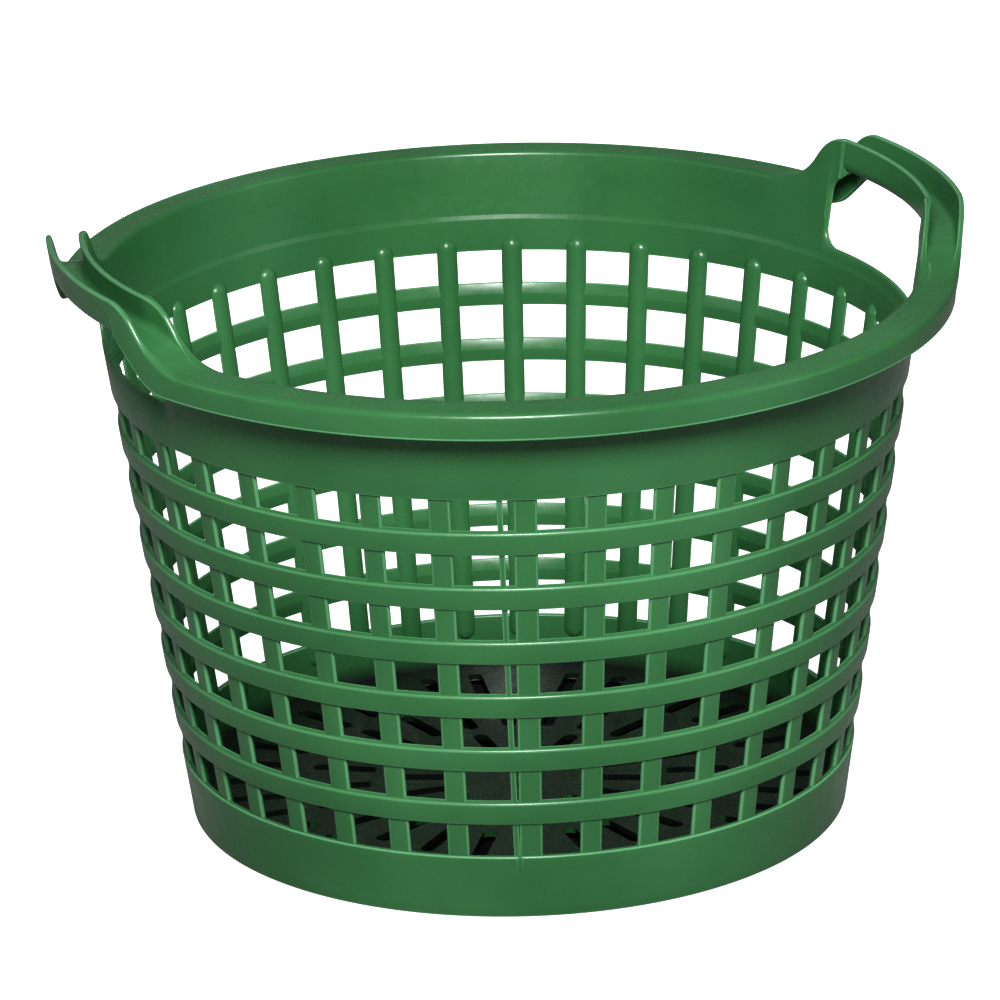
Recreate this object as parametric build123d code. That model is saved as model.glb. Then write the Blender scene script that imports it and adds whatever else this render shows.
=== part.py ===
from build123d import *
import math
import os

# Round plastic harvest basket with a lattice wall and two handles moulded into its rim.
# Millimetres. +Z is up and Z = 0 is the ground. The origin is the centre of the round
# footprint. The two handles stand on the X axis, one at +X and one at -X.

os.makedirs("parts", exist_ok=True)

# ---- driving dimensions ---------------------------------------------------------------
RIM_HEIGHT = 260.0  # ground to the crest of the rim
BASE_RADIUS = 154.8  # outside of the wall at the ground
WALL_FLARE = 0.1461  # growth of the wall's radius per unit of height
WALL = 2.6  # thickness of the wall, rim and handles
BASE_BAND_WALL = 3.0  # the base band is a little thicker
FOOT_ROUND_OUT = 1.2
FOOT_ROUND_IN = 0.8

BASE_BAND_TOP = 31.3
TOP_BAND_BOTTOM = 211.8
RIM_BOTTOM = 247.0  # lower edge of the rim's hanging lip
RIM_TOP = 259.4  # flat top of the rim, just under its crest
CREST_RADIUS = 209.7  # outside of the rim at its crest
LIP_RADIUS = 207.6  # outside of the lip at its lower edge
CREST_WIDTH = 3.5  # raised part of the rim's top
CREST_SLOPE = 2.0  # width of the slope from the flat up to the crest
CREST_ROUND = 2.6
RIM_EDGE_ROUND = 4.5  # where the wall turns out into the rim
LIP_SETBACK = 0.6  # how far the lip's inside leans in at its root
LEDGE_HEIGHT = 229.0  # small ledge round the inside of the top band
LEDGE_DEPTH = 0.8
LEDGE_SLOPE = 0.6  # height over which the ledge steps in

HOOP_COUNT = 6
HOOP_HEIGHT = 10.6
HOOP_DEPTH = 3.0  # the hoops reach back almost to the ribs
HOOP_TOP_ROUND = 1.0
HOOP_ROUND = 0.5

RIB_WIDTH = 9.7
RIB_BACK = 3.12  # depth of the ribs' flat backs behind the wall's outside
RIB_RISE = 2.4  # how far the ribs' rounded faces stand out from their flat backs
RIB_RUN_UP = 1.5  # the ribs run this far over the top band's inside before they round off
RIB_RUN_DOWN = 6.5  # and this far over the base band's
RIB_COUNT = 36
SEAM_GAP = 12.0  # degrees between the two ribs at the mould seam
SEAM_AZIMUTH = -16.9  # degrees from -Y of the wide rib beside the seam, + towards +X
BACK_SHIFT = 1.4  # degrees by which the ribs opposite the seam lie short of even spacing
WIDE_RIB_WIDTH = 10.8
NARROW_RIB_WIDTH = 2.4
NARROW_RIB_STEP = 3.5  # degrees from the wide rib to the narrow one

FLOOR_BOTTOM = 4.0
FLOOR_THICKNESS = 3.0
SLOT_WIDTH = 7.0
SLOT_RINGS = ((32.0, 60.0, 16), (68.0, 100.0, 24), (108.0, 141.0, 36))  # from, to, number

HANDLE_TOP = 286.5
HANDLE_RADIUS = 213.0  # outside of the handle at its top edge
HANDLE_FLOOR_TOP = 272.0  # floor of the open channel along the grip
HANDLE_LEAN = 0.124  # the grip's outer wall leans out by this much per unit of height
HANDLE_HALF_SPAN = 100.0  # half of the rim stretch that rises into a handle
GRIP_HALF_LENGTH = 45.0  # half of the straight grip between the two posts
GRIP_ROUND_OUT = 6.0  # lower corners of the grip's channel, outside and inside
GRIP_ROUND_IN = 3.8
HOLE_HALF_WIDTH = 55.5
HOLE_BOTTOM = 234.0
HOLE_TOP = 275.0
HOLE_CORNER = 10.0
HOLE_REACH = 200.0  # the hole goes through the inner wall only

# Lines that climb from the rim into a handle, as distances from the handle's middle:
# (start of the level top, foot of the slope, rounding at the top, rounding at the foot).
TOP_EDGE_CLIMB = (61.1, 77.2, 18.0, 30.0)
LIP_CLIMB = (47.3, 72.3, 12.0, 18.0)
LIP_CLIMB_TOP = 273.0  # lower edge of the outer wall beside the grip
FLOOR_CLIMB = (55.0, 88.0, 30.0, 30.0)

# ---- derived sizes --------------------------------------------------------------------
ROW_PITCH = (TOP_BAND_BOTTOM - BASE_BAND_TOP + HOOP_HEIGHT) / (HOOP_COUNT + 1)
RIB_STEP = (360.0 - SEAM_GAP) / (RIB_COUNT - 1)
FAR = 400.0  # reach of cutting blocks
SLAB = 120.0  # height of cutting blocks round the rim
OVERLAP = 0.5  # how far sheets run into each other before they are joined


def wall_radius(height):
    """Outside radius of the basket's wall at a height."""
    return BASE_RADIUS + WALL_FLARE * height


def ring(points, rounds=()):
    """Revolves an outline of (radius, height) points; rounds lists (point, fillet radius)."""
    section = make_face(Polyline(*points, close=True))
    for point, radius in rounds:
        corner = section.vertices().sort_by_distance((point[0], point[1], 0))[0]
        section = fillet(corner, radius)
    return revolve(Plane.XZ * section, Axis.Z)


def side_prism(points, rounds=()):
    """Solid of a (sideways, height) outline drawn across +X and run outwards from the axis."""
    outline = make_face(Polyline(*points, close=True))
    for point, radius in rounds:
        corner = outline.vertices().sort_by_distance((point[0], point[1], 0))[0]
        outline = fillet(corner, radius)
    return extrude(Plane.YZ * outline, FAR)


# ---- floor and base -------------------------------------------------------------------
def floor_plate():
    """Flat floor, lifted off the ground and pierced by rings of radial drain slots."""
    top = FLOOR_BOTTOM + FLOOR_THICKNESS
    plate = ring(
        [
            (0, FLOOR_BOTTOM),
            (wall_radius(FLOOR_BOTTOM) - BASE_BAND_WALL, FLOOR_BOTTOM),
            (wall_radius(top) - BASE_BAND_WALL, top),
            (0, top),
        ]
    )
    slots = Sketch()
    for inner, outer, number in SLOT_RINGS:
        slot = Pos((inner + outer) / 2, 0) * SlotOverall(outer - inner, SLOT_WIDTH)
        slots += [Rot(0, 0, i * 360.0 / number) * slot for i in range(number)]
    return plate - extrude(Pos(0, 0, FLOOR_BOTTOM - 1) * slots, FLOOR_THICKNESS + 2)


def base_band():
    """Plain band below the lattice, standing on its own rounded foot edge."""
    top = BASE_BAND_TOP
    foot_out = (wall_radius(0), 0)
    top_out = (wall_radius(top), top)
    top_in = (wall_radius(top) - BASE_BAND_WALL, top)
    foot_in = (wall_radius(0) - BASE_BAND_WALL, 0)
    outline = [foot_out, top_out, top_in, foot_in]
    return ring(outline, [(foot_out, FOOT_ROUND_OUT), (foot_in, FOOT_ROUND_IN)])


# ---- lattice --------------------------------------------------------------------------
def upright_rib(width):
    """Rib standing on the wall's inside at azimuth +X: a flat back, a rounded face that
    points into the basket, and rounded ends that overlap the bands."""
    half = width / 2
    rise = min(RIB_RISE, half)
    radius = (half**2 + rise**2) / (2 * rise)
    foot, head = BASE_BAND_TOP - RIB_RUN_DOWN, TOP_BAND_BOTTOM + RIB_RUN_UP
    low = Vector(wall_radius(foot) - RIB_BACK, 0, foot)
    high = Vector(wall_radius(head) - RIB_BACK, 0, head)
    along = Plane(low, x_dir=(0, 1, 0), z_dir=high - low)
    length = (high - low).length
    rod = Cylinder(radius, length, align=(Align.CENTER, Align.CENTER, Align.MIN))
    rod += Sphere(radius)
    rod += Pos(0, 0, length) * Sphere(radius)
    rod = Pos(0, rise - radius, 0) * rod
    behind = Pos(0, RIM_HEIGHT / 2, length / 2) * Box(RIM_HEIGHT, RIM_HEIGHT, 2 * length)
    return along * (rod & behind)


def at_azimuth(part, degrees):
    """Turns a part made at +X to an azimuth counted from -Y towards +X."""
    return Rot(0, 0, degrees - 90.0) * part


def rib_azimuth(number):
    """Azimuth of a rib counted from the wide one at the seam."""
    even = SEAM_AZIMUTH + number * RIB_STEP
    return even - BACK_SHIFT * math.sin(math.pi * number / RIB_COUNT) ** 2


def regular_ribs():
    """All the ribs but the wide one beside the mould seam."""
    rib = upright_rib(RIB_WIDTH)
    return [at_azimuth(rib, rib_azimuth(number)) for number in range(1, RIB_COUNT)]


def hoop(number):
    """One ring of the lattice, with a sloped upper edge, lying on the backs of the ribs."""
    low = BASE_BAND_TOP + number * ROW_PITCH - HOOP_HEIGHT
    high = low + HOOP_HEIGHT
    low_out = (wall_radius(low), low)
    high_out = (wall_radius(high), high)
    high_in = (wall_radius(high) - HOOP_DEPTH, high)
    low_in = (wall_radius(low) - HOOP_DEPTH, low)
    rounds = [(corner, HOOP_ROUND) for corner in (low_out, high_in, low_in)]
    rounds.append((high_out, HOOP_TOP_ROUND))
    return ring([low_out, high_out, high_in, low_in], rounds)


# ---- top band, rim and handles --------------------------------------------------------
def top_band(hole):
    """Plain band above the lattice, with a small ledge inside and the feet of two hand holes."""
    low, high = TOP_BAND_BOTTOM, RIM_BOTTOM
    band = ring(
        [
            (wall_radius(low), low),
            (wall_radius(high), high),
            (wall_radius(high) - WALL, high),
            (wall_radius(LEDGE_HEIGHT) - WALL, LEDGE_HEIGHT),
            (wall_radius(LEDGE_HEIGHT) - WALL - LEDGE_DEPTH, LEDGE_HEIGHT - LEDGE_SLOPE),
            (wall_radius(low) - WALL, low),
        ]
    )
    return band - hole - Rot(0, 0, 180) * hole


def rim_profile():
    """The rim: a rounded inner edge, a flat top, a raised crest and a hanging lip."""
    wall_out = (wall_radius(RIM_BOTTOM), RIM_BOTTOM)
    wall_in = (wall_radius(RIM_BOTTOM) - WALL, RIM_BOTTOM)
    inner_edge = (wall_radius(RIM_TOP) - WALL, RIM_TOP)
    crest_in = (CREST_RADIUS - CREST_WIDTH - CREST_SLOPE, RIM_TOP)
    crest_low = (CREST_RADIUS - CREST_WIDTH, RIM_HEIGHT)
    crest = (CREST_RADIUS, RIM_HEIGHT)
    lip_out = (LIP_RADIUS, RIM_BOTTOM)
    lip_in = (LIP_RADIUS - WALL, RIM_BOTTOM)
    under_lip = (CREST_RADIUS - WALL - LIP_SETBACK, RIM_TOP - WALL)
    under_wall = (wall_radius(RIM_TOP - WALL), RIM_TOP - WALL)
    outline = [wall_in, inner_edge, crest_in, crest_low, crest, lip_out, lip_in, under_lip]
    outline += [under_wall, wall_out]
    return ring(outline, [(inner_edge, RIM_EDGE_ROUND), (crest, CREST_ROUND)])


def climbing_prism(low, high, climb, under):
    """Prism, across a handle, of everything between the level under and a line that climbs
    from the height low to the height high and down again on the other side."""
    level_from, foot_at, top_round, foot_round = climb
    outline = [(-HANDLE_HALF_SPAN, under), (-HANDLE_HALF_SPAN, low)]
    outline += [(-foot_at, low), (-level_from, high), (level_from, high), (foot_at, low)]
    outline += [(HANDLE_HALF_SPAN, low), (HANDLE_HALF_SPAN, under)]
    bends = [((side * level_from, high), top_round) for side in (-1, 1)]
    bends += [((side * foot_at, low), foot_round) for side in (-1, 1)]
    return side_prism(outline, bends)


def hand_hole():
    """Cutter for the rounded hand hole in the inner wall under a handle."""
    left_low, right_low = (-HOLE_HALF_WIDTH, HOLE_BOTTOM), (HOLE_HALF_WIDTH, HOLE_BOTTOM)
    left_high, right_high = (-HOLE_HALF_WIDTH, HOLE_TOP), (HOLE_HALF_WIDTH, HOLE_TOP)
    corners = [left_low, right_low, right_high, left_high]
    cutter = side_prism(corners, [(corner, HOLE_CORNER) for corner in corners])
    return cutter & Pos(0, 0, RIM_HEIGHT) * Cylinder(HOLE_REACH, SLAB)


def grip():
    """Open channel with rounded lower corners that the hand closes round."""
    top, floor = HANDLE_TOP, HANDLE_FLOOR_TOP
    bottom = floor - WALL
    in_low = (wall_radius(bottom) - WALL, bottom)
    out_low = (HANDLE_RADIUS - HANDLE_LEAN * (top - bottom), bottom)
    channel_in = (wall_radius(floor), floor)
    channel_out = (HANDLE_RADIUS - WALL - HANDLE_LEAN * (top - floor), floor)
    outline = [
        in_low,
        (wall_radius(top) - WALL, top),
        (wall_radius(top), top),
        channel_in,
        channel_out,
        (HANDLE_RADIUS - WALL, top),
        (HANDLE_RADIUS, top),
        out_low,
    ]
    rounds = [(in_low, GRIP_ROUND_OUT), (out_low, GRIP_ROUND_OUT)]
    rounds += [(channel_in, GRIP_ROUND_IN), (channel_out, GRIP_ROUND_IN)]
    middle = Pos(FAR / 2, 0, RIM_HEIGHT) * Box(FAR, 2 * GRIP_HALF_LENGTH, SLAB)
    return ring(outline, rounds) & middle


def handle_wall(radii, thickness, low):
    """Conical shell round the basket from radius radii[0] at low to radii[-1] at the top."""
    heights = (low, RIM_HEIGHT, HANDLE_TOP)
    outside = list(zip(radii, heights))
    inside = [(radius - thickness, height) for radius, height in reversed(outside)]
    return ring(outside + inside)


def handle_posts(hole):
    """The rim's two stretches beside the grip, which climb into the grip's channel."""
    below_top = climbing_prism(RIM_HEIGHT, HANDLE_TOP, TOP_EDGE_CLIMB, FAR / 2)
    above_low = climbing_prism(RIM_BOTTOM, LIP_CLIMB_TOP, LIP_CLIMB, FAR)
    inner = [wall_radius(height) for height in (RIM_BOTTOM, RIM_HEIGHT, HANDLE_TOP)]
    inner_wall = (handle_wall(inner, WALL, RIM_BOTTOM) & below_top) - hole
    outer = (LIP_RADIUS, CREST_RADIUS, HANDLE_RADIUS)
    outer_wall = handle_wall(outer, WALL, RIM_BOTTOM) & below_top & above_low
    floor_top = climbing_prism(RIM_TOP, HANDLE_FLOOR_TOP, FLOOR_CLIMB, FAR / 2)
    floor_low = Pos(0, 0, -WALL) * floor_top
    between = ring(
        [
            (wall_radius(RIM_BOTTOM) - OVERLAP, RIM_BOTTOM),
            (wall_radius(HANDLE_TOP) - OVERLAP, HANDLE_TOP),
            (HANDLE_RADIUS - WALL + OVERLAP, HANDLE_TOP),
            (CREST_RADIUS - WALL + OVERLAP, RIM_HEIGHT),
            (LIP_RADIUS - WALL + OVERLAP, RIM_BOTTOM),
        ]
    )
    sheet = (floor_top - floor_low) & between
    posts = inner_wall + outer_wall + sheet
    width = HANDLE_HALF_SPAN - GRIP_HALF_LENGTH
    middle = (HANDLE_HALF_SPAN + GRIP_HALF_LENGTH) / 2
    return [
        posts & Pos(FAR / 2, side * middle, RIM_HEIGHT) * Box(FAR, width, SLAB)
        for side in (-1, 1)
    ]


def rim_arcs():
    """The rim between the handles, as its front and back arcs."""
    rim = rim_profile()
    middle = HANDLE_HALF_SPAN + FAR / 2
    return [
        rim & Pos(0, side * middle, RIM_HEIGHT) * Box(2 * FAR, FAR, SLAB) for side in (-1, 1)
    ]


def save(name, *solids):
    """Writes one sub-part, which may be a group of separate solids."""
    export_step(Compound(children=list(solids), label=name), f"parts/{name}.step")


def main():
    ribs = regular_ribs()
    wide = at_azimuth(upright_rib(WIDE_RIB_WIDTH), SEAM_AZIMUTH)
    narrow = at_azimuth(upright_rib(NARROW_RIB_WIDTH), SEAM_AZIMUTH - NARROW_RIB_STEP)
    save("floor_plate", *floor_plate().solids())
    save("base_band", *base_band().solids())
    save("upright_ribs", *[solid for rib in ribs for solid in rib.solids()])
    save("seam_rib_wide", *wide.solids())
    save("seam_rib_narrow", *narrow.solids())
    for number in range(1, HOOP_COUNT + 1):
        save(f"hoop_{number}", *hoop(number).solids())
    hole = hand_hole()
    save("top_band", *top_band(hole).solids())
    for name, arc in zip(("rim_front", "rim_back"), rim_arcs()):
        save(name, *arc.solids())
    posts = handle_posts(hole)
    for side, turn in (("right", 0), ("left", 180)):
        place = Rot(0, 0, turn)
        ends = ("front", "back") if turn == 0 else ("back", "front")
        save(f"handle_{side}_grip", *(place * grip()).solids())
        for end, post in zip(ends, posts):
            save(f"handle_{side}_{end}_post", *(place * post).solids())


main()
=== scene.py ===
"""Looks of the round green harvest basket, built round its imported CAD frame.

Shapes are worked out in millimetres in the CAD frame and scaled to metres when a mesh is made.
A section is a closed outline of (radius, height) points; a skin joins neighbouring sections.
"""

import math

import bmesh
import bpy
import numpy as np
from mathutils import Matrix, Vector


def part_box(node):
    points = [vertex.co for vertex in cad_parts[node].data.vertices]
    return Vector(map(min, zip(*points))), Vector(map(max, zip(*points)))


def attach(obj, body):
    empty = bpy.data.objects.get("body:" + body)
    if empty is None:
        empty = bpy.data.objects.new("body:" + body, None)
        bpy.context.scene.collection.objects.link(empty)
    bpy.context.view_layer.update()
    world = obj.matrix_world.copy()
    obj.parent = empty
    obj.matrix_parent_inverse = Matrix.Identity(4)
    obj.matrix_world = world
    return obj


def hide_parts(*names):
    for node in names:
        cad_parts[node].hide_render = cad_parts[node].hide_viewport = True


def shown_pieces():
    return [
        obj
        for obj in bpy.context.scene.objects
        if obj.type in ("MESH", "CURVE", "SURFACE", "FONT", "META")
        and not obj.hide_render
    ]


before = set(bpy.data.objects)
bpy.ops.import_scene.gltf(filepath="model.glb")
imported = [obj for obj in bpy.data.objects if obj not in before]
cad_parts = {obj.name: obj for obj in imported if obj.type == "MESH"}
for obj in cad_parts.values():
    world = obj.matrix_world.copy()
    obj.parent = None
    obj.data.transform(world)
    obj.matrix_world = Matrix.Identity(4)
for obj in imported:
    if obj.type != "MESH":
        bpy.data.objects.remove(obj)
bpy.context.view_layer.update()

MM = 0.001


def box_mm(node):
    """Lowest and highest corner of a CAD node in millimetres."""
    return [np.array(corner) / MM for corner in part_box(node)]


# ---- sizes taken from the frame ---------------------------------------------------------
BASE_HIGH = box_mm("base_band")[1]
BAND_LOW, BAND_HIGH = box_mm("top_band")
RIM_LOW, RIM_HIGH = box_mm("rim_front")
GRIP_LOW, GRIP_HIGH = box_mm("handle_right_grip")
BASE_BAND_TOP = BASE_HIGH[2]
TOP_BAND_BOTTOM = BAND_LOW[2]
RIM_BOTTOM = BAND_HIGH[2]
CREST_HEIGHT = RIM_HIGH[2]
CREST_RADIUS = -RIM_LOW[1]
HANDLE_TOP = GRIP_HIGH[2]
HANDLE_RADIUS = GRIP_HIGH[0]
GRIP_BOTTOM = GRIP_LOW[2]
WALL_FLARE = (BAND_HIGH[1] - BASE_HIGH[1]) / (RIM_BOTTOM - BASE_BAND_TOP)
FOOT_RADIUS = BASE_HIGH[1] - WALL_FLARE * BASE_BAND_TOP
HOOPS = sorted(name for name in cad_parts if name.startswith("hoop_"))

# ---- sizes of the moulding --------------------------------------------------------------
WALL = 2.6
BASE_WALL = 3.0
FOOT_ROUND = 1.2
FOOT_INNER_ROUND = 0.8
BAND_ROUND = 0.9  # edges of the two plain bands that face the lattice
TOP_BAND_EXTRA = 0.2  # the top band is this much thicker at its lower edge
TOP_BAND_INNER_ROUND = 0.7
LEDGE_HEIGHT = 229.0  # small ledge round the inside of the top band
LEDGE_DEPTH = 0.8
LEDGE_ABOVE = 0.6  # the ledge's slope ends this far above its height
LEDGE_BELOW = 1.6  # and starts this far below
LEDGE_ROUND = 2.0

HOOP_SLANT = 1.7  # the hoops' upper edges rise inwards by this
HOOP_UNDERCUT = 0.6  # and their lower edges by this
HOOP_DROP = 0.2  # the outer faces end this far below the CAD hoops' tops
HOOP_UPPER_DEPTH = 2.6
HOOP_LOWER_DEPTH = 2.7
HOOP_UPPER_ROUND = 1.6
HOOP_LOWER_ROUND = 0.6
HOOP_INNER_ROUND = 0.8
RIDGE_DEPTH = 3.8  # of the ridge along the inside of each hoop
RIDGE_SHARE = 0.6  # the ridge's height as a share of the hoop's
RIDGE_ROUND = 2.5

RIB_WIDTH = 9.7  # where the ribs' rounded insides start
WIDE_RIB_WIDTH = 10.3
NARROW_RIB_WIDTH = 2.2
RIB_FACE_EXTRA = 2.2  # the ribs' outer faces are this much wider
RIB_FACE_SHARE = 0.4  # but on each side by no more than this share of half the width
RIB_ROUND = 1.5  # outer edges of the ribs
RIB_ROUND_SHARE = 0.6  # but no more than this share of half the width
RIB_RECESS = 1.2  # the ribs' outer faces lie behind the hoops' by this
RIB_BACK = 3.12  # depth at which the ribs' rounded insides start
RIB_RISE = 2.4  # depth of the rounded insides
RIB_TIP = 0.02  # size of a rib's last section, as a share of its full one
RIB_RUN_UP = 1.5  # the ribs' straight stretch runs this far over the top band's inside
RIB_RUN_DOWN = 6.5  # and this far over the base band's
RIB_COUNT = 36
SEAM_GAP = 12.0  # degrees between the two ribs at the mould seam
BACK_SHIFT = 1.4  # degrees by which the ribs opposite the seam lie short of even spacing
SEAM_AZIMUTH = -16.9  # degrees from -Y of the wide rib at the mould seam, + towards +X
RIB_STEP = (360.0 - SEAM_GAP) / (RIB_COUNT - 1)
SLOT_AT_TOP = 5.4  # width of the seam slot beside the wide rib, below the top band
SLOT_AT_BASE = 0.3  # and at the base band
GROOVE_DEPTH = 0.7  # of the seam's groove in the base band
GROOVE_WIDTH = 0.28  # degrees from its middle to where it is about a third as deep
GROOVE_START = 16.0  # the groove fades in from this far below the band's top
GROOVE_FULL = 5.0  # to this far below it
GROOVE_REACH = 0.5  # points this near to the outside of the wall are pressed in

RIM_TOP = CREST_HEIGHT - 0.6  # flat of the rim, a little below its crest
RIM_DOME = 1.1  # the inner edge of the rim stands above its flat by this
RIM_TURN = 2.4  # the raised inner edge reaches this far out past the wall
RIM_SLOPE = 1.2  # and its slope ends at this many times that distance
RIM_EDGE_ROUND = 2.6
RIM_TURN_ROUND = 0.3
RIM_SLOPE_ROUND = 3.0
CREST_FOOT = 5.5  # from the crest's outside to the foot of its inner slope
CREST_WIDTH = 4.2
CREST_INNER_ROUND = 2.0
CREST_OUTER_ROUND = 3.4
LIP_LEAN = 0.1615  # the lip leans out by this much per unit of height
LIP_BEAD = 0.7  # the lip's lower edge flares out by this
BEAD_HEIGHT = 1.6  # height of the flare, times its depth
BEAD_ROUND = 0.6
LIP_ROUND = 1.0
LIP_ROOT = 0.6  # the lip is this much thicker at its root
LIP_ROOT_ROUND = 1.5
FLAT_UNDERSIDE = 7.0  # stands for the lip's thickness where no lip hangs
UNDER_ROUND = 0.6  # where the rim's underside meets the wall
FULL_HANG = 8.0  # a lip that hangs this far down has its full form
FULL_RISE = 9.0  # a rim that has climbed this far has the handle's full form
HANDLE_LEAN = (HANDLE_RADIUS - CREST_RADIUS) / (HANDLE_TOP - CREST_HEIGHT)

HANDLE_SPAN = 100.0  # distance from a handle's middle at which the rim starts to climb
GRIP_END = 50.5  # and at which the post turns into the set-back grip
GRIP_SET_BACK = 1.2
SET_BACK_FADE = 12.0  # the inside of the post's channel loses the set-back over this distance
CHANNEL_FLOOR = GRIP_BOTTOM + WALL
CHANNEL_ROUND = 3.8  # lower corners inside the channel
CHANNEL_EDGE_ROUND = 1.25  # upper edges of the channel's walls
GRIP_ROUND = 6.0  # lower corners outside the channel
# Lines that climb from the rim to a handle: the distances from the handle's middle at which
# the upper level turns down and the slope meets the lower level, and those bends' roundings.
TOP_CLIMB = (61.1, 77.2, 18.0, 30.0)
FLOOR_CLIMB = (58.0, 90.0, 60.0, 40.0)
LIP_CLIMB = (50.8, 72.3, 8.0, 18.0)
HOLE_HALF_WIDTH = 55.5
HOLE_BOTTOM = 234.0
HOLE_TOP = 268.5
HOLE_CORNER = 9.0
HOLE_FLARE = 1.0  # rounding of the hole's edges
FLARE_SHARE = 0.97  # of a full quarter turn, so that the rounding ends at a slope
CUTTER_OUTSIDE = 197.0  # the hole's cutter runs between these distances from the YZ plane
CUTTER_INSIDE = 168.0
CUTTER_MARGIN = 0.1  # the cutter's flares end this far clear of the wall

# ---- fineness of the meshes -------------------------------------------------------------
ARC_STEPS = 4  # facets in a rounded corner of a section
GRIP_ARC_STEPS = 6
HOLE_ARC_STEPS = 24
HOLE_EDGE_STEPS = 48  # facets along a straight edge of a hand hole
CUTTER_SECTIONS = 9
TURN_STEPS = 720  # facets round the basket
SEAM_FINE_HALF = 1.5  # degrees on each side of the seam's groove that have finer facets
SEAM_FINE_POINTS = 41
BASE_BAND_ROWS = 6  # rows of points between the base band's edges
RIM_ARC_STEPS = TURN_STEPS // 3
RIB_STOPS = 15  # heights along a rib's straight stretch, with both ends
RIB_TIP_STOPS = 9  # heights in a rib's domed end
RIB_ARC_POINTS = 17  # points across a rib's rounded inside, with both ends
GRIP_SECTIONS = 61
POST_SECTIONS = 55
POST_EDGE_SECTIONS = 5  # sections where a post turns into the grip
SHARP_ANGLE = 50.0  # degrees at which the shading breaks
MERGE_DISTANCE = 2e-6  # metres
SHORTEST_SQUARE = 0.001  # square of the shortest edge whose bend is measured
END_MARGIN = 0.05  # points this near to the end of a handle's piece count as its end
BEND_NO_HIGHLIGHT = 0.4  # edges that bend less than this, per millimetre, get no painted highlight
BEND_FULL_HIGHLIGHT = 0.9  # and edges that bend more than this get the full painted highlight


def wall_radius(height):
    """Outside radius of the basket's wall."""
    return FOOT_RADIUS + WALL_FLARE * height


def outer_radius(height):
    """Outside radius of the rim's lip and, above the crest, of the handles."""
    lean = HANDLE_LEAN if height > CREST_HEIGHT else LIP_LEAN
    return CREST_RADIUS + lean * (height - CREST_HEIGHT)


def mix(a, b, share):
    return a + (b - a) * share


def ramp(value, start, end):
    """0 at start, 1 at end, smooth between and held beyond."""
    share = min(1.0, max(0.0, (value - start) / (end - start)))
    return share * share * (3 - 2 * share)


# ---- outlines ---------------------------------------------------------------------------
def rounded(corners, steps=ARC_STEPS):
    """Closed outline through (a, b, rounding) corners, each drawn as steps + 1 points."""
    spots = [np.array(corner[:2], float) for corner in corners]
    count = len(corners)
    edges = [spots[(i + 1) % count] - spots[i] for i in range(count)]
    lengths = [float(np.hypot(*edge)) for edge in edges]
    angles, wanted = [], []
    for i in range(count):
        before, after = -edges[i - 1], edges[i]
        flat = min(lengths[i - 1], lengths[i]) < 1e-4 or corners[i][2] <= 0
        cosine = 1.0 if flat else before @ after / lengths[i - 1] / lengths[i]
        angles.append(math.acos(max(-1.0, min(1.0, cosine))))
        flat = flat or math.pi - angles[i] < 0.02
        wanted.append(0.0 if flat else corners[i][2] / math.tan(angles[i] / 2))
    outline = []
    for i in range(count):
        if wanted[i] == 0:
            outline += [spots[i]] * (steps + 1)
            continue
        before, after = -edges[i - 1] / lengths[i - 1], edges[i] / lengths[i]
        room = [
            lengths[i - 1] / (wanted[i - 1] + wanted[i]),
            lengths[i] / (wanted[i] + wanted[(i + 1) % count]),
        ]
        tangent = wanted[i] * min(1.0, 0.98 * min(room))
        radius = tangent * math.tan(angles[i] / 2)
        middle = before + after
        middle /= np.hypot(*middle)
        centre = spots[i] + middle * radius / math.sin(angles[i] / 2)
        first, last = spots[i] + before * tangent - centre, spots[i] + after * tangent - centre
        sweep = math.pi - angles[i]
        for step in range(steps + 1):
            share = step / steps
            parts = math.sin((1 - share) * sweep), math.sin(share * sweep)
            outline.append(centre + (first * parts[0] + last * parts[1]) / math.sin(sweep))
    return np.array(outline)


def climb(distance, low, high, level_from, foot_at, top_round, foot_round):
    """Height, at a distance from a handle's middle, of a line that is level at high, turns
    down at level_from, and turns level again at low at foot_at, with both bends rounded."""
    slope = math.atan2(high - low, foot_at - level_from)
    top_end = level_from - top_round * math.tan(slope / 2)
    foot_end = foot_at + foot_round * math.tan(slope / 2)
    if distance <= top_end:
        return high
    if distance >= foot_end:
        return low
    if distance < top_end + top_round * math.sin(slope):
        return high - top_round + math.sqrt(top_round**2 - (distance - top_end) ** 2)
    if distance > foot_end - foot_round * math.sin(slope):
        return low + foot_round - math.sqrt(foot_round**2 - (foot_end - distance) ** 2)
    return high - (distance - level_from) * math.tan(slope)


def inner_top(distance):
    return climb(distance, RIM_TOP, HANDLE_TOP, *TOP_CLIMB)


def outer_top(distance):
    return climb(distance, CREST_HEIGHT, HANDLE_TOP, *TOP_CLIMB)


def channel_floor(distance):
    return climb(distance, RIM_TOP, CHANNEL_FLOOR, *FLOOR_CLIMB)


def lip_bottom(distance):
    lowest = climb(distance, RIM_BOTTOM, GRIP_BOTTOM, *LIP_CLIMB)
    return min(lowest, channel_floor(distance) - WALL)


# ---- mesh making ------------------------------------------------------------------------
def add_piece(name, points, faces, *nodes):
    """Makes a shown piece from points in millimetres, standing for the named CAD nodes."""
    mesh = bpy.data.meshes.new(name)
    mesh.from_pydata([tuple(point) for point in np.asarray(points) * MM], [], faces)
    tidy_mesh(mesh)
    piece = bpy.data.objects.new(name, mesh)
    bpy.context.collection.objects.link(piece)
    mesh.materials.append(PLASTIC)
    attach(piece, "root")
    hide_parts(*nodes)
    return piece


def tidy_mesh(mesh):
    """Merges doubled points, turns the faces outwards and shades the mesh smooth."""
    work = bmesh.new()
    work.from_mesh(mesh)
    bmesh.ops.remove_doubles(work, verts=work.verts, dist=MERGE_DISTANCE)
    bmesh.ops.recalc_face_normals(work, faces=work.faces)
    work.to_mesh(mesh)
    work.free()
    shade(mesh)


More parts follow.
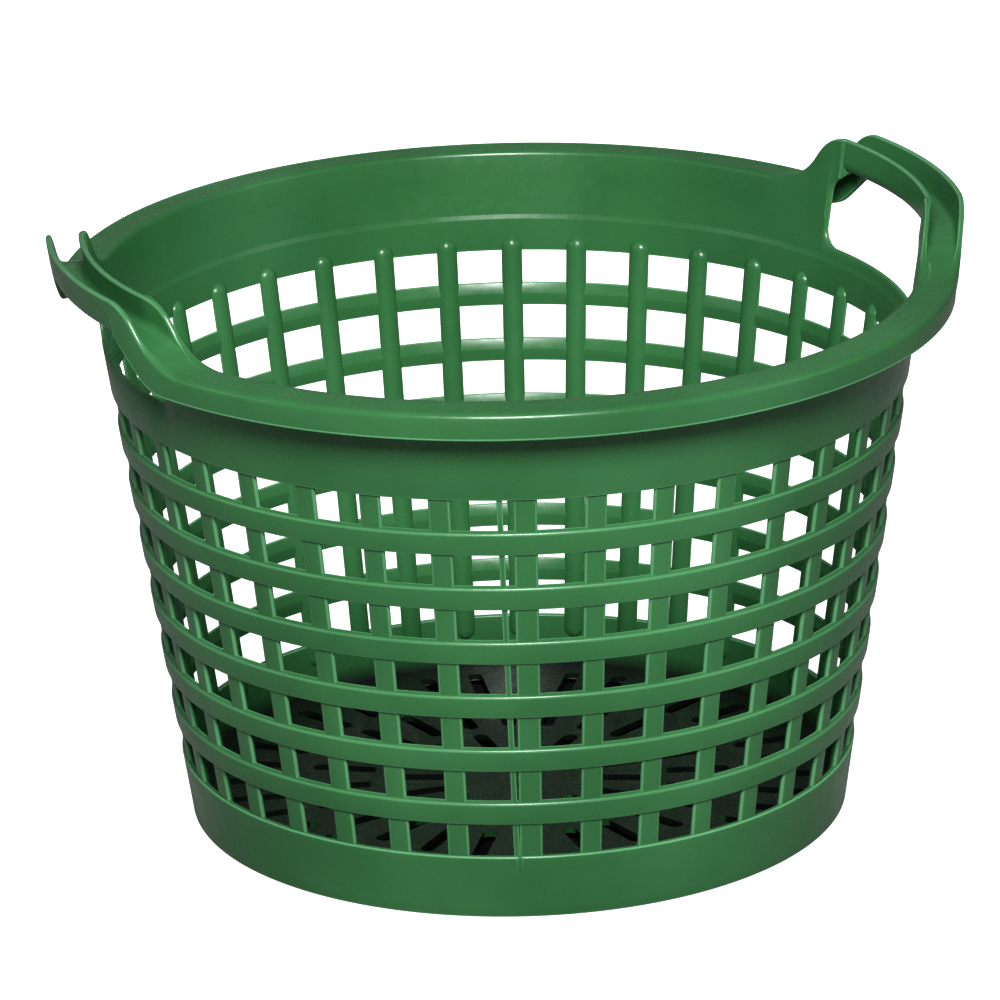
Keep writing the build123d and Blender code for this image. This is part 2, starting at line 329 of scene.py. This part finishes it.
def shade(mesh):
    """Shades a mesh smooth, apart from its sharp edges."""
    mesh.shade_smooth()
    mesh.set_sharp_from_angle(angle=math.radians(SHARP_ANGLE))


def skin(sections, closed):
    """Points and faces that join equal-length sections; open runs get end faces."""
    sections = np.asarray(sections)
    count, size = sections.shape[:2]
    faces = []
    for i in range(count if closed else count - 1):
        here, there = i * size, (i + 1) % count * size
        for j in range(size):
            k = (j + 1) % size
            faces.append((here + j, here + k, there + k, there + j))
    if not closed:
        faces.append(tuple(range(size)))
        faces.append(tuple(range((count - 1) * size, count * size)))
    return sections.reshape(-1, 3), faces


def merged(parts):
    """One list of points and faces from several."""
    points, faces, start = [], [], 0
    for part_points, part_faces in parts:
        points.append(part_points)
        faces += [tuple(start + index for index in face) for face in part_faces]
        start += len(part_points)
    return np.concatenate(points), faces


def direction(azimuth):
    """Unit vector across the ground at degrees from -Y towards +X."""
    angle = math.radians(azimuth)
    return np.array([math.sin(angle), -math.cos(angle)])


def turned(section, azimuth):
    """A (radius, height) section stood up at an azimuth."""
    across = direction(azimuth)
    section = np.asarray(section)
    return np.column_stack([section[:, :1] * across, section[:, 1]])


def at_sideways(section, sideways, side):
    """A section stood up parallel to XZ at a sideways distance, on the +X or -X handle."""
    section = np.asarray(section)
    out = np.sqrt(section[:, 0] ** 2 - sideways**2)
    return np.column_stack([side * out, np.full(len(section), sideways), section[:, 1]])


def ring(section, press=None):
    """Skin of a section turned all the way round; press moves points at an azimuth."""
    azimuths = np.arange(TURN_STEPS) * 360.0 / TURN_STEPS - 180.0
    if press:
        fine = SEAM_SLOT + np.linspace(-SEAM_FINE_HALF, SEAM_FINE_HALF, SEAM_FINE_POINTS)
        azimuths = np.unique(np.concatenate([azimuths, fine]))
    shape = press if press else lambda outline, azimuth: outline
    return skin([turned(shape(section, azimuth), azimuth) for azimuth in azimuths], True)


def cut(piece, cutter):
    """Subtracts the cutter from a piece for good."""
    bpy.context.collection.objects.link(cutter)
    change = piece.modifiers.new("hand_hole", "BOOLEAN")
    change.operation = "DIFFERENCE"
    change.object = cutter
    change.solver = "EXACT"
    depsgraph = bpy.context.evaluated_depsgraph_get()
    result = bpy.data.meshes.new_from_object(piece.evaluated_get(depsgraph))
    piece.modifiers.clear()
    piece.data = result
    bpy.context.collection.objects.unlink(cutter)
    shade(piece.data)


# ---- base, hoops and ribs ---------------------------------------------------------------
def seam_slot_azimuth(height):
    """Azimuth of the middle of the slot between the wide and the narrow rib."""
    slot = seam_slot_width(height)
    offset = WIDE_RIB_WIDTH / 2 + slot / 2
    return SEAM_AZIMUTH - math.degrees(offset / wall_radius(height))


def seam_slot_width(height):
    share = (height - BASE_BAND_TOP) / (TOP_BAND_BOTTOM - BASE_BAND_TOP)
    return mix(SLOT_AT_BASE, SLOT_AT_TOP, share)


SEAM_SLOT = seam_slot_azimuth(BASE_BAND_TOP)


def seam_press(section, azimuth):
    """Presses the seam's shallow groove into the outside of the base band."""
    away = (azimuth - SEAM_SLOT) / GROOVE_WIDTH
    depth = GROOVE_DEPTH * math.exp(-away * away)
    pressed = section.copy()
    for point in pressed:
        outside = wall_radius(point[1]) - point[0] < GROOVE_REACH
        upper = ramp(point[1], BASE_BAND_TOP - GROOVE_START, BASE_BAND_TOP - GROOVE_FULL)
        point[0] -= depth * upper if outside else 0.0
    return pressed


def make_base_band():
    low, top = 0.0, BASE_BAND_TOP
    heights = np.linspace(low + 6.0, top - 4.0, BASE_BAND_ROWS)
    corners = [
        (wall_radius(low) - BASE_WALL, low, FOOT_INNER_ROUND),
        (wall_radius(low), low, FOOT_ROUND),
        *[(wall_radius(height), height, 0.0) for height in heights],
        (wall_radius(top), top, BAND_ROUND),
        (wall_radius(top) - BASE_WALL, top, BAND_ROUND),
    ]
    points, faces = ring(rounded(corners), seam_press)
    add_piece("foot_band", points, faces, "base_band")


def make_hoop(node):
    low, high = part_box(node)[0][2] / MM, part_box(node)[1][2] / MM
    ridge = mix(low, high, RIDGE_SHARE)
    corners = [
        (wall_radius(low) - HOOP_LOWER_DEPTH, low + HOOP_UNDERCUT, HOOP_INNER_ROUND),
        (wall_radius(low), low, HOOP_LOWER_ROUND),
        (wall_radius(high), high - HOOP_DROP, HOOP_UPPER_ROUND),
        (wall_radius(high) - HOOP_UPPER_DEPTH, high + HOOP_SLANT, HOOP_INNER_ROUND),
        (wall_radius(ridge) - RIDGE_DEPTH, ridge, RIDGE_ROUND),
    ]
    points, faces = ring(rounded(corners))
    add_piece("lattice_" + node, points, faces, node)


def rib_outline(width):
    """(sideways, depth) outline of a rib: flat outer face, round edges, rounded inside."""
    half = width / 2
    face = half + min(RIB_FACE_EXTRA / 2, half * RIB_FACE_SHARE)
    corner = min(RIB_ROUND, half * RIB_ROUND_SHARE)
    edge = rounded([
        (-half, RIB_BACK, 0),
        (-face, RIB_RECESS, corner),
        (face, RIB_RECESS, corner),
        (half, RIB_BACK, 0),
    ])
    edge = edge[ARC_STEPS:-ARC_STEPS]
    rise = min(RIB_RISE, half)
    radius = (half**2 + rise**2) / (2 * rise)
    turn = np.linspace(1, -1, RIB_ARC_POINTS)[1:-1] * math.asin(half / radius)
    depth = RIB_BACK + rise - radius + radius * np.cos(turn)
    inside = np.column_stack([radius * np.sin(turn), depth])
    return np.concatenate([edge, inside])


def rib(width, azimuth_at):
    """Skin of one rib between the bands, with a dome at each end that fades into the band."""
    outline = rib_outline(width)
    lean = math.atan(WALL_FLARE)
    half = width / 2
    tips = half * np.sin(np.linspace(0, 0.5 * math.pi, RIB_TIP_STOPS))
    low, high = BASE_BAND_TOP - RIB_RUN_DOWN, TOP_BAND_BOTTOM + RIB_RUN_UP
    stops = [(low - tip, tip) for tip in tips[::-1]]
    stops += [(height, 0.0) for height in np.linspace(low, high, RIB_STOPS)[1:-1]]
    stops += [(high + tip, tip) for tip in tips]
    sections = []
    for height, beyond in stops:
        share = math.sqrt(max(RIB_TIP**2, 1 - (beyond / half) ** 2))
        out = direction(azimuth_at(height))
        along = np.array([-out[1], out[0], 0.0])
        inward = np.array([-out[0] * math.cos(lean), -out[1] * math.cos(lean), math.sin(lean)])
        foot = np.array([*(out * wall_radius(height)), height])
        depth = WALL + (outline[:, 1] - WALL) * share
        sections.append(foot + outline[:, :1] * share * along + depth[:, None] * inward)
    return skin(sections, False)


def rib_azimuth(number):
    """Azimuth of a rib counted from the wide one at the seam."""
    even = SEAM_AZIMUTH + number * RIB_STEP
    return even - BACK_SHIFT * math.sin(math.pi * number / RIB_COUNT) ** 2


def make_ribs():
    regular = []
    for i in range(1, RIB_COUNT):
        azimuth = rib_azimuth(i)
        regular.append(rib(RIB_WIDTH, lambda height, azimuth=azimuth: azimuth))
    add_piece("lattice_ribs", *merged(regular), "upright_ribs")
    points, faces = rib(WIDE_RIB_WIDTH, lambda height: SEAM_AZIMUTH)
    add_piece("lattice_rib_wide", points, faces, "seam_rib_wide")

    def narrow_azimuth(height):
        offset = (WIDE_RIB_WIDTH + NARROW_RIB_WIDTH) / 2 + seam_slot_width(height)
        return SEAM_AZIMUTH - math.degrees(offset / wall_radius(height))

    points, faces = rib(NARROW_RIB_WIDTH, narrow_azimuth)
    add_piece("lattice_rib_narrow", points, faces, "seam_rib_narrow")


# ---- top band, rim and handles ----------------------------------------------------------
def rim_section(distance):
    """Closed section of the rim at a distance from a handle's middle: the wall's top, the
    open channel and the hanging lip."""
    wall_top, crest = inner_top(distance), outer_top(distance)
    floor, lip = channel_floor(distance), lip_bottom(distance)
    under = floor - WALL
    upright = ramp(crest - CREST_HEIGHT, 0.0, FULL_RISE)
    hang = min(1.0, (under - lip) / FULL_HANG)
    away = min(1.0, max(0.0, (distance - GRIP_END) / GRIP_SET_BACK))
    back = GRIP_SET_BACK * (1 - math.sqrt(1 - (1 - away) ** 2))
    channel_back = GRIP_SET_BACK * (1 - ramp(distance, GRIP_END, GRIP_END + SET_BACK_FADE))
    dome = mix(RIM_DOME, 0.0, upright)
    turn_out = mix(RIM_TURN, 0.0, upright)
    bead = LIP_BEAD * hang
    bead_top = lip + BEAD_HEIGHT * bead
    lip_depth = mix(FLAT_UNDERSIDE, WALL, hang)
    slope_end = wall_radius(floor) + channel_back + RIM_SLOPE * turn_out
    crest_foot = outer_radius(floor) - mix(CREST_FOOT, WALL, upright)
    crest_edge = outer_radius(crest) - mix(CREST_WIDTH, WALL, upright)

    def edge_round(on_rim):
        return mix(on_rim, CHANNEL_EDGE_ROUND, upright)

    def floor_round(on_rim):
        return mix(on_rim, CHANNEL_ROUND, upright)

    return rounded([
        (wall_radius(RIM_BOTTOM) - WALL, RIM_BOTTOM, 0),
        (wall_radius(wall_top) - WALL + back, wall_top + dome, edge_round(RIM_EDGE_ROUND)),
        (wall_radius(wall_top) + channel_back + turn_out, wall_top + dome, edge_round(RIM_TURN_ROUND)),
        (slope_end, floor + dome, floor_round(RIM_SLOPE_ROUND)),
        (crest_foot, floor, floor_round(CREST_INNER_ROUND)),
        (crest_edge, crest, edge_round(CREST_INNER_ROUND)),
        (outer_radius(crest), crest, edge_round(CREST_OUTER_ROUND)),
        (outer_radius(bead_top), bead_top, BEAD_ROUND * hang),
        (outer_radius(lip) + bead, lip, mix(GRIP_ROUND, LIP_ROUND, hang)),
        (outer_radius(lip) - lip_depth, lip, LIP_ROUND * hang),
        (outer_radius(under) - lip_depth - LIP_ROOT, under, LIP_ROOT_ROUND * hang),
        (wall_radius(under) + back, under, UNDER_ROUND),
        (wall_radius(RIM_BOTTOM), RIM_BOTTOM, 0),
    ])


def grip_section():
    """Closed U section of the grip, set back behind the posts on the inside."""
    back = GRIP_SET_BACK
    return rounded([
        (wall_radius(GRIP_BOTTOM) - WALL + back, GRIP_BOTTOM, GRIP_ROUND),
        (wall_radius(HANDLE_TOP) - WALL + back, HANDLE_TOP, CHANNEL_EDGE_ROUND),
        (wall_radius(HANDLE_TOP) + back, HANDLE_TOP, CHANNEL_EDGE_ROUND),
        (wall_radius(CHANNEL_FLOOR) + back, CHANNEL_FLOOR, CHANNEL_ROUND),
        (outer_radius(CHANNEL_FLOOR) - WALL, CHANNEL_FLOOR, CHANNEL_ROUND),
        (outer_radius(HANDLE_TOP) - WALL, HANDLE_TOP, CHANNEL_EDGE_ROUND),
        (outer_radius(HANDLE_TOP), HANDLE_TOP, CHANNEL_EDGE_ROUND),
        (outer_radius(GRIP_BOTTOM), GRIP_BOTTOM, GRIP_ROUND),
    ], GRIP_ARC_STEPS)


def make_rim_arc(name, node, side):
    """Rim between the handles, on the front (side -1) or the back (side 1)."""
    section = rim_section(HANDLE_SPAN)
    start = np.arcsin(HANDLE_SPAN / section[:, 0])
    sections = []
    for share in np.linspace(0, 1, RIM_ARC_STEPS + 1):
        angle = side * (start + share * (math.pi - 2 * start))
        sections.append(np.column_stack([
            section[:, 0] * np.cos(angle), section[:, 0] * np.sin(angle), section[:, 1],
        ]))
    points, faces = skin(sections, False)
    add_piece(name, points, faces, node)


def make_grip(name, node, side):
    distances = np.linspace(-GRIP_END, GRIP_END, GRIP_SECTIONS)
    section = grip_section()
    sections = [at_sideways(section, distance, side) for distance in distances]
    points, faces = skin(sections, False)
    add_piece(name, points, faces, node)


def make_post(name, node, side, end, cutter):
    """Post beside a grip; end is -1 for the front one and 1 for the back one."""
    turn = np.linspace(0, 0.5 * math.pi, POST_EDGE_SECTIONS)
    near = GRIP_END + GRIP_SET_BACK * (1 - np.cos(turn))
    distances = np.concatenate([near[:-1], np.linspace(near[-1], HANDLE_SPAN, POST_SECTIONS)])
    sections = [at_sideways(rim_section(distance), end * distance, side) for distance in distances]
    points, faces = skin(sections, False)
    cut(add_piece(name, points, faces, node), cutter)


def make_hole_cutter(side):
    """Solid that cuts a hand hole through the wall and flares at both faces, so that the
    hole gets rounded edges."""
    sections = []
    for depth in np.linspace(-CUTTER_MARGIN, WALL + CUTTER_MARGIN, CUTTER_SECTIONS):
        away = min(1.0, abs(depth - WALL / 2) / (WALL / 2))
        flare = HOLE_FLARE * (1 - math.sqrt(1 - FLARE_SHARE * away**2))
        width, low, high = HOLE_HALF_WIDTH + flare, HOLE_BOTTOM - flare, HOLE_TOP + flare
        corners = [(-width, low), (width, low), (width, high), (-width, high)]
        outline = rounded([(*corner, HOLE_CORNER + flare) for corner in corners], HOLE_ARC_STEPS)
        outline = subdivide(outline)
        out = np.sqrt((wall_radius(outline[:, 1]) - depth) ** 2 - outline[:, 0] ** 2)
        sections.append(np.column_stack([side * out, outline]))
    ends = [sections[0].copy(), sections[-1].copy()]
    ends[0][:, 0] = side * CUTTER_OUTSIDE
    ends[1][:, 0] = side * CUTTER_INSIDE
    sections = [ends[0], *sections, ends[1]]
    points, faces = skin(sections, False)
    mesh = bpy.data.meshes.new("hole_cutter")
    mesh.from_pydata([tuple(point) for point in points * MM], [], faces)
    tidy_mesh(mesh)
    return bpy.data.objects.new("hole_cutter", mesh)


def subdivide(outline):
    """Adds points along a closed outline's straight edges, the same number each time."""
    out = []
    for i, point in enumerate(outline):
        step = outline[(i + 1) % len(outline)] - point
        parts = HOLE_EDGE_STEPS if np.hypot(*step) > HOLE_CORNER else 1
        out += [point + step * k / parts for k in range(parts)]
    return np.array(out)


def make_top_band(cutters):
    low, high, ledge = TOP_BAND_BOTTOM, RIM_BOTTOM, LEDGE_HEIGHT
    points, faces = ring(rounded([
        (wall_radius(low), low, BAND_ROUND),
        (wall_radius(high), high, 0),
        (wall_radius(high) - WALL, high, 0),
        (wall_radius(ledge) - WALL, ledge + LEDGE_ABOVE, LEDGE_ROUND),
        (wall_radius(ledge) - WALL - LEDGE_DEPTH, ledge - LEDGE_BELOW, LEDGE_ROUND),
        (wall_radius(low) - WALL - TOP_BAND_EXTRA, low, TOP_BAND_INNER_ROUND),
    ]))
    piece = add_piece("crown_band", points, faces, "top_band")
    for cutter in cutters:
        cut(piece, cutter)


def make_rim_and_handles():
    cutters = {side: make_hole_cutter(side) for side in (-1, 1)}
    make_top_band(cutters.values())
    make_rim_arc("turned_rim_front", "rim_front", -1)
    make_rim_arc("turned_rim_back", "rim_back", 1)
    for word, side in (("right", 1), ("left", -1)):
        make_grip(f"channel_grip_{word}", f"handle_{word}_grip", side)
        for place, end in (("front", -1), ("back", 1)):
            name = f"channel_post_{word}_{place}"
            make_post(name, f"handle_{word}_{place}_post", side, end, cutters[side])


# ---- painted edge highlights ------------------------------------------------------------
def mark_edges(mesh):
    """Stores, as the share of painted edge highlight, how sharply the surface bends outwards at
    each point, from 0 on flats and wide curves to 1 on tight ones. Where a run ends, the points
    take the value beside them."""
    spots = read(mesh.vertices, "co", 3) / MM
    normals = read(mesh.vertex_normals, "vector", 3)
    ends = read(mesh.edges, "vertices", 2).astype(int)
    ends = np.concatenate([ends, ends[:, ::-1]])
    steps = spots[ends[:, 1]] - spots[ends[:, 0]]
    squares = np.maximum(np.sum(steps**2, axis=1), SHORTEST_SQUARE)
    bends = -2 * np.sum(steps * normals[ends[:, 0]], axis=1) / squares
    # A highlighted point has to bend along two of its edges, so the second-largest bend counts.
    order = np.lexsort((bends, ends[:, 0]))
    last = np.searchsorted(ends[order, 0], np.arange(len(spots)), "right") - 1
    second = bends[order][last - 1]
    sideways = np.abs(spots[:, 1])
    to_end = np.minimum(np.abs(sideways - HANDLE_SPAN), np.abs(sideways - GRIP_END))
    at_end = to_end < END_MARGIN
    beside = at_end[ends[:, 0]] & ~at_end[ends[:, 1]]
    second[ends[beside, 0]] = second[ends[beside, 1]]
    highlight_share = np.clip((second - BEND_NO_HIGHLIGHT) / (BEND_FULL_HIGHLIGHT - BEND_NO_HIGHLIGHT), 0.0, 1.0)
    # the bend share becomes a painted highlight: rounded edges are lightened as if catching the light
    mesh.attributes.new("painted_edge_highlight", "FLOAT", "POINT").data.foreach_set("value", highlight_share)


def read(items, field, size):
    """A field of all of a mesh's items as rows of numbers."""
    values = np.zeros(len(items) * size)
    items.foreach_get(field, values)
    return values.reshape(-1, size)


# ---- material ---------------------------------------------------------------------------
DEEP_GREEN = (0.035, 0.150, 0.050)
MID_GREEN = (0.053, 0.200, 0.072)
PALE_GREEN = (0.18, 0.46, 0.24)
# dark colour painted as shade on the floor and low down inside the basket
PAINTED_SHADE_COLOUR = (0.018, 0.022, 0.019)
PAINTED_SHADE_FULL = 0.007  # height in metres up to which the painted shade is full
PAINTED_SHADE_TOP = 0.016  # and above which there is none
EDGE_HIGHLIGHT = 0.75  # share of pale green painted as a highlight on a fully bent edge
PLASTIC_IOR = 1.49


def link(tree, source, target):
    tree.links.new(source, target)


def noise(tree, coordinates, scale, detail, roughness):
    node = tree.nodes.new("ShaderNodeTexNoise")
    node.inputs["Scale"].default_value = scale
    node.inputs["Detail"].default_value = detail
    node.inputs["Roughness"].default_value = roughness
    link(tree, coordinates, node.inputs["Vector"])
    return node.outputs["Fac"]


def spread(tree, value, low, high, out_low, out_high):
    """Maps a value's range low..high onto out_low..out_high, held at both ends."""
    node = tree.nodes.new("ShaderNodeMapRange")
    for name, number in zip(
        ("From Min", "From Max", "To Min", "To Max"), (low, high, out_low, out_high)
    ):
        node.inputs[name].default_value = number
    link(tree, value, node.inputs["Value"])
    return node.outputs["Result"]


def blend_colour(tree, share, first, second):
    node = tree.nodes.new("ShaderNodeMix")
    node.data_type = "RGBA"
    link(tree, share, node.inputs["Factor"])
    for socket, colour in ((node.inputs["A"], first), (node.inputs["B"], second)):
        if isinstance(colour, tuple):
            socket.default_value = (*colour, 1.0)
        else:
            link(tree, colour, socket)
    return node.outputs["Result"]


def multiply(tree, first, second):
    node = tree.nodes.new("ShaderNodeMath")
    node.operation = "MULTIPLY"
    link(tree, first, node.inputs[0])
    link(tree, second, node.inputs[1])
    return node.outputs["Value"]


def painted_shade_share(tree, place):
    """Share of painted shade on the floor and the inside of the base: full near the ground
    and on faces that look inwards or upwards, patchy at its upper edge."""
    height = tree.nodes.new("ShaderNodeSeparateXYZ")
    link(tree, place, height.inputs["Vector"])
    low = spread(tree, height.outputs["Z"], PAINTED_SHADE_FULL, PAINTED_SHADE_TOP, 1.0, 0.0)
    flat = tree.nodes.new("ShaderNodeVectorMath")
    flat.operation = "MULTIPLY"
    flat.inputs[1].default_value = (1.0, 1.0, 0.0)
    link(tree, place, flat.inputs[0])
    unit = tree.nodes.new("ShaderNodeVectorMath")
    unit.operation = "NORMALIZE"
    link(tree, flat.outputs["Vector"], unit.inputs[0])
    facing = tree.nodes.new("ShaderNodeVectorMath")
    facing.operation = "DOT_PRODUCT"
    link(tree, unit.outputs["Vector"], facing.inputs[0])
    link(tree, tree.nodes.new("ShaderNodeNewGeometry").outputs["Normal"], facing.inputs[1])
    inward = spread(tree, facing.outputs["Value"], 0.1, 0.5, 1.0, 0.0)
    patches = spread(tree, noise(tree, place, 45.0, 5.0, 0.65), 0.30, 0.50, 0.84, 0.99)
    return multiply(tree, multiply(tree, low, inward), patches)


def green_plastic():
    """Semi-gloss moulded plastic: slow colour drift, faint scuffs, edges lightened as a painted
    highlight, painted shade low down inside.
    """
    material = bpy.data.materials.new("green_plastic")
    material.use_nodes = True
    tree = material.node_tree
    shader = tree.nodes["Principled BSDF"]
    place = tree.nodes.new("ShaderNodeTexCoord").outputs["Object"]
    stretch = tree.nodes.new("ShaderNodeMapping")
    stretch.inputs["Scale"].default_value = (1.0, 1.0, 0.15)
    link(tree, place, stretch.inputs["Vector"])
    flow = noise(tree, stretch.outputs["Vector"], 14.0, 1.0, 0.5)
    cloud = noise(tree, place, 9.0, 3.0, 0.5)
    grain = noise(tree, place, 420.0, 1.0, 0.5)
    scuff = noise(tree, place, 160.0, 2.0, 0.5)

    drift = spread(tree, cloud, 0.35, 0.65, 0.0, 1.0)
    base = blend_colour(tree, drift, DEEP_GREEN, MID_GREEN)
    streaks = spread(tree, flow, 0.45, 0.75, 0.0, 0.06)
    base = blend_colour(tree, streaks, base, PALE_GREEN)
    # painted highlight: rounded edges lightened towards pale green, in patches
    edge = tree.nodes.new("ShaderNodeAttribute")
    edge.attribute_name = "painted_edge_highlight"
    edge_highlight = spread(tree, edge.outputs["Fac"], 0.0, 1.0, 0.0, EDGE_HIGHLIGHT)
    highlight_patches = spread(tree, cloud, 0.3, 0.6, 0.7, 1.0)
    base = blend_colour(tree, multiply(tree, edge_highlight, highlight_patches), base, PALE_GREEN)
    # painted shade: the floor and the lower inside are darkened as if in shadow
    base = blend_colour(tree, painted_shade_share(tree, place), base, PAINTED_SHADE_COLOUR)
    link(tree, base, shader.inputs["Base Color"])

    link(tree, spread(tree, scuff, 0.35, 0.7, 0.23, 0.33), shader.inputs["Roughness"])
    shader.inputs["IOR"].default_value = PLASTIC_IOR
    fine = add_bump(tree, grain, 0.05, 0.0001)
    swell = add_bump(tree, cloud, 0.25, 0.0008)
    link(tree, fine.outputs["Normal"], swell.inputs["Normal"])
    link(tree, swell.outputs["Normal"], shader.inputs["Normal"])
    return material


def add_bump(tree, height, strength, distance):
    node = tree.nodes.new("ShaderNodeBump")
    node.inputs["Strength"].default_value = strength
    node.inputs["Distance"].default_value = distance
    link(tree, height, node.inputs["Height"])
    return node


# ---- stage, in metres and radians -------------------------------------------------------
CAMERA_AZIMUTH = -18.6  # degrees from -Y towards +X
CAMERA_DISTANCE = 3.161  # across the ground from the basket's axis
CAMERA_HEIGHT = 1.2622
CAMERA_PITCH = 0.3392
CAMERA_YAW = -0.0019
CAMERA_ROLL = -0.0241
CAMERA_LENS = 257.5  # millimetres
SENSOR_WIDTH = 36.0  # millimetres
BLACK = (0.0, 0.0, 0.0)
WHITE = (1.0, 1.0, 1.0)
FLOOR_SIZE = 30.0
FLOOR_GLOW = 0.85  # keeps the floor pale in the picture without lighting the basket
SHADE_EDGE = 0.150  # the floor is painted dark, as shadow, within this radius, under the basket
SHADE_END = 0.156  # and pale outside this one
AIM_HEIGHT = 0.13  # the lights point at the axis at this height


def make_camera():
    data = bpy.data.cameras.new("camera")
    data.lens = CAMERA_LENS
    data.sensor_width = SENSOR_WIDTH
    camera = bpy.data.objects.new("camera", data)
    bpy.context.collection.objects.link(camera)
    ahead = Vector((
        math.sin(CAMERA_YAW) * math.cos(CAMERA_PITCH),
        math.cos(CAMERA_YAW) * math.cos(CAMERA_PITCH),
        -math.sin(CAMERA_PITCH),
    ))
    right = Vector((math.cos(CAMERA_YAW), -math.sin(CAMERA_YAW), 0.0))
    up = right.cross(ahead)
    tilt_cos, tilt_sin = math.cos(CAMERA_ROLL), math.sin(CAMERA_ROLL)
    across = tilt_cos * right + tilt_sin * up
    upward = tilt_cos * up - tilt_sin * right
    axes = Matrix((across, upward, -ahead)).transposed().to_4x4()
    axes.translation = Vector((0.0, -CAMERA_DISTANCE, CAMERA_HEIGHT))
    camera.matrix_world = Matrix.Rotation(math.radians(CAMERA_AZIMUTH), 4, "Z") @ axes
    bpy.context.scene.camera = camera


def make_floor():
    bpy.ops.mesh.primitive_plane_add(size=FLOOR_SIZE, location=(0, 0, 0))
    floor = bpy.context.object
    floor.name = "studio_floor"
    material = bpy.data.materials.new("studio_floor")
    material.use_nodes = True
    tree = material.node_tree
    shader = tree.nodes["Principled BSDF"]
    shader.inputs["Roughness"].default_value = 0.9
    shader.inputs["Specular IOR Level"].default_value = 0.0
    ray = tree.nodes.new("ShaderNodeLightPath")
    seen = ray.outputs["Is Camera Ray"]
    place = tree.nodes.new("ShaderNodeTexCoord").outputs["Object"]
    away = tree.nodes.new("ShaderNodeVectorMath")
    away.operation = "LENGTH"
    link(tree, place, away.inputs[0])
    # painted shadow under the basket: the floor's colour and glow fall to dark within SHADE_EDGE
    open_floor = spread(tree, away.outputs["Value"], SHADE_EDGE, SHADE_END, 0.03, 1.0)
    bounce = spread(tree, seen, 0.0, 1.0, 0.30, 0.8)
    bounce = multiply(tree, bounce, open_floor)
    link(tree, blend_colour(tree, bounce, BLACK, WHITE), shader.inputs["Base Color"])
    shader.inputs["Emission Color"].default_value = (*WHITE, 1.0)
    clear = spread(tree, away.outputs["Value"], SHADE_EDGE, SHADE_END, 0.0, FLOOR_GLOW)
    link(tree, multiply(tree, seen, clear), shader.inputs["Emission Strength"])
    floor.data.materials.append(material)


def add_light(name, azimuth, distance, height, size, power):
    """Square soft light aimed at the basket's middle, at an azimuth as in direction()."""
    data = bpy.data.lights.new(name, "AREA")
    data.size = size
    data.energy = power
    light = bpy.data.objects.new(name, data)
    bpy.context.collection.objects.link(light)
    spot = Vector((*(direction(azimuth) * distance), height))
    aim = Vector((0.0, 0.0, AIM_HEIGHT)) - spot
    turn = aim.to_track_quat("-Z", "Y").to_matrix().to_4x4()
    light.matrix_world = Matrix.Translation(spot) @ turn
    return light


def make_world():
    """White backdrop for the camera, which lights the basket only a little."""
    world = bpy.data.worlds.new("studio")
    world.use_nodes = True
    tree = world.node_tree
    dim = tree.nodes["Background"]
    dim.inputs["Color"].default_value = (*WHITE, 1.0)
    ray = tree.nodes.new("ShaderNodeLightPath")
    strength = spread(tree, ray.outputs["Is Diffuse Ray"], 0.0, 1.0, 0.14, 0.025)
    link(tree, strength, dim.inputs["Strength"])
    bright = tree.nodes.new("ShaderNodeBackground")
    bright.inputs["Color"].default_value = (*WHITE, 1.0)
    choose = tree.nodes.new("ShaderNodeMixShader")
    link(tree, ray.outputs["Is Camera Ray"], choose.inputs["Fac"])
    link(tree, dim.outputs["Background"], choose.inputs[1])
    link(tree, bright.outputs["Background"], choose.inputs[2])
    link(tree, choose.outputs["Shader"], tree.nodes["World Output"].inputs["Surface"])
    bpy.context.scene.world = world


def make_lights():
    add_light("key", CAMERA_AZIMUTH + 2.0, distance=2.3, height=1.95, size=0.9, power=95.0)
    for name, aside in (("left_strip", -75.0), ("right_strip", 75.0)):
        add_light(name, CAMERA_AZIMUTH + aside, distance=1.6, height=0.9, size=0.7, power=1.5)
    behind = CAMERA_AZIMUTH + 180.0
    fill = add_light("back_fill", behind, distance=2.3, height=1.0, size=1.2, power=30.0)
    fill.visible_glossy = False


def set_view():
    settings = bpy.context.scene.view_settings
    settings.view_transform = "Standard"
    settings.look = "Medium High Contrast"


# ---- the scene --------------------------------------------------------------------------
PLASTIC = green_plastic()
make_base_band()
for hoop_node in HOOPS:
    make_hoop(hoop_node)
make_ribs()
make_rim_and_handles()
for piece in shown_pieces():
    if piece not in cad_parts.values():
        mark_edges(piece.data)
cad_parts["floor_plate"].data.materials.clear()
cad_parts["floor_plate"].data.materials.append(PLASTIC)
make_camera()
make_floor()
make_world()
make_lights()
set_view()
